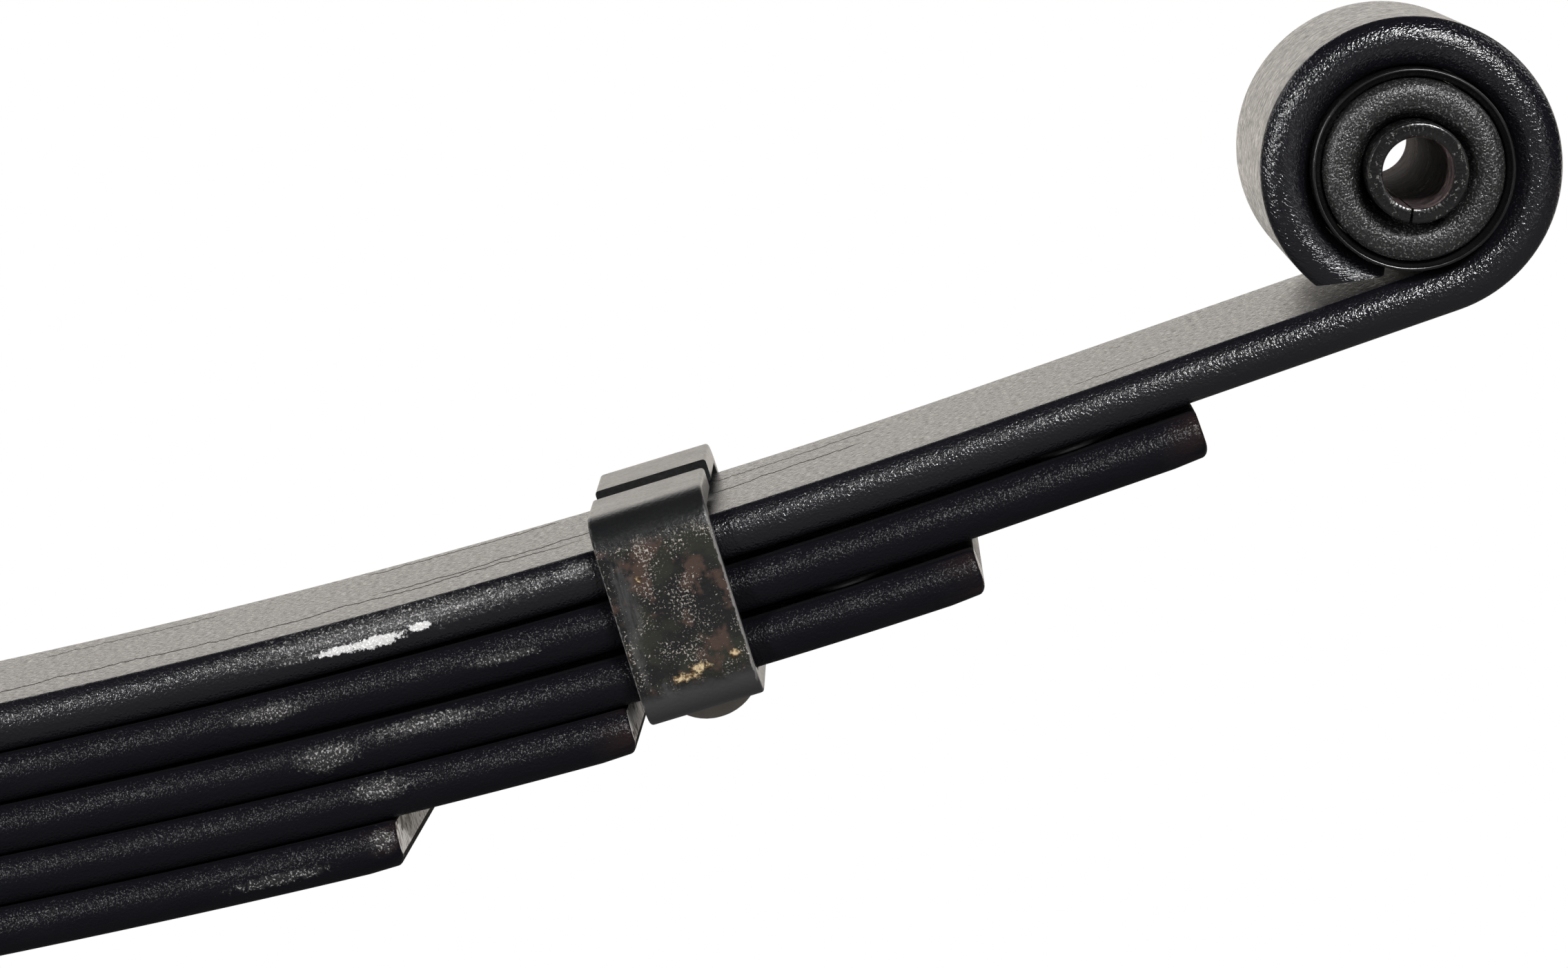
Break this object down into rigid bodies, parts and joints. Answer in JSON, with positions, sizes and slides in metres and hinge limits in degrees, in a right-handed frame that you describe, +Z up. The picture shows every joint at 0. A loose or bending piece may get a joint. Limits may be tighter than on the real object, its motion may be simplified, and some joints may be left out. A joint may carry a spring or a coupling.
{
  "type": "leaf spring",
  "caption": "Semi-elliptic leaf spring with stepped leaves, upturned bushed eyes, riveted rebound clips and a centre bolt.",
  "frame": {"origin": "middle of the axle seat, on the underside of the lowest leaf", "axes": "+X along the spring towards its front eye, +Y across the leaves, +Z up, out of the axle seat"},
  "size_m": [1.262, 0.08, 0.2011],
  "materials": {
    "leaf_paint": "semi-gloss black paint over rolled spring steel",
    "clip_paint": "scuffed black paint with dust and rust",
    "shell_paint": "black paint over the bush's outer steel shell",
    "bush_rubber": "pebbled moulded rubber",
    "sleeve_steel": "rolled steel sleeve, overpainted, bore showing brown",
    "bolt_steel": "overpainted black steel",
    "pad_plastic": "dark grey plastic, overpainted at its edge"
  },
  "bodies": {
    "leaf_pack": {"leaf_1": "leaf_paint", "leaf_2": "leaf_paint", "leaf_3": "leaf_paint", "leaf_4": "leaf_paint", "leaf_5": "leaf_paint", "centre_bolt": "bolt_steel", "centre_nut": "bolt_steel"},
    "front_arm": {"front_bush_shell": "shell_paint", "front_bush_rubber": "bush_rubber", "front_clip": "clip_paint", "front_clip_rivet": "clip_paint", "front_tip_pad_2": "pad_plastic", "front_tip_pad_3": "pad_plastic"},
    "front_sleeve": {"front_inner_sleeve": "sleeve_steel"},
    "rear_arm": {"rear_bush_shell": "shell_paint", "rear_bush_rubber": "bush_rubber", "rear_clip": "clip_paint", "rear_clip_rivet": "clip_paint", "rear_tip_pad_2": "pad_plastic", "rear_tip_pad_3": "pad_plastic"},
    "rear_sleeve": {"rear_inner_sleeve": "sleeve_steel"}
  },
  "joints": [
    {"name": "front_flex", "type": "hinge", "parent": "leaf_pack", "child": "front_arm", "pos_m": [0.189, 0, 0.0277], "axis": [0, 1, 0], "range_deg": [-3, 13.5], "stiffness_Nm_per_rad": 7800, "deforming": ["leaf_1", "leaf_2", "leaf_3", "leaf_4", "leaf_5"]},
    {"name": "front_bush_twist", "type": "hinge", "parent": "front_arm", "child": "front_sleeve", "pos_m": [0.60599, 0, 0.16767], "axis": [0, 1, 0], "range_deg": [-25, 25], "stiffness_Nm_per_rad": 57},
    {"name": "rear_flex", "type": "hinge", "parent": "leaf_pack", "child": "rear_arm", "pos_m": [-0.189, 0, 0.0277], "axis": [0, -1, 0], "range_deg": [-3, 13.5], "stiffness_Nm_per_rad": 7800, "deforming": ["leaf_1", "leaf_2", "leaf_3", "leaf_4", "leaf_5"]},
    {"name": "rear_bush_twist", "type": "hinge", "parent": "rear_arm", "child": "rear_sleeve", "pos_m": [-0.60599, 0, 0.16767], "axis": [0, -1, 0], "range_deg": [-25, 25], "stiffness_Nm_per_rad": 57}
  ]
}
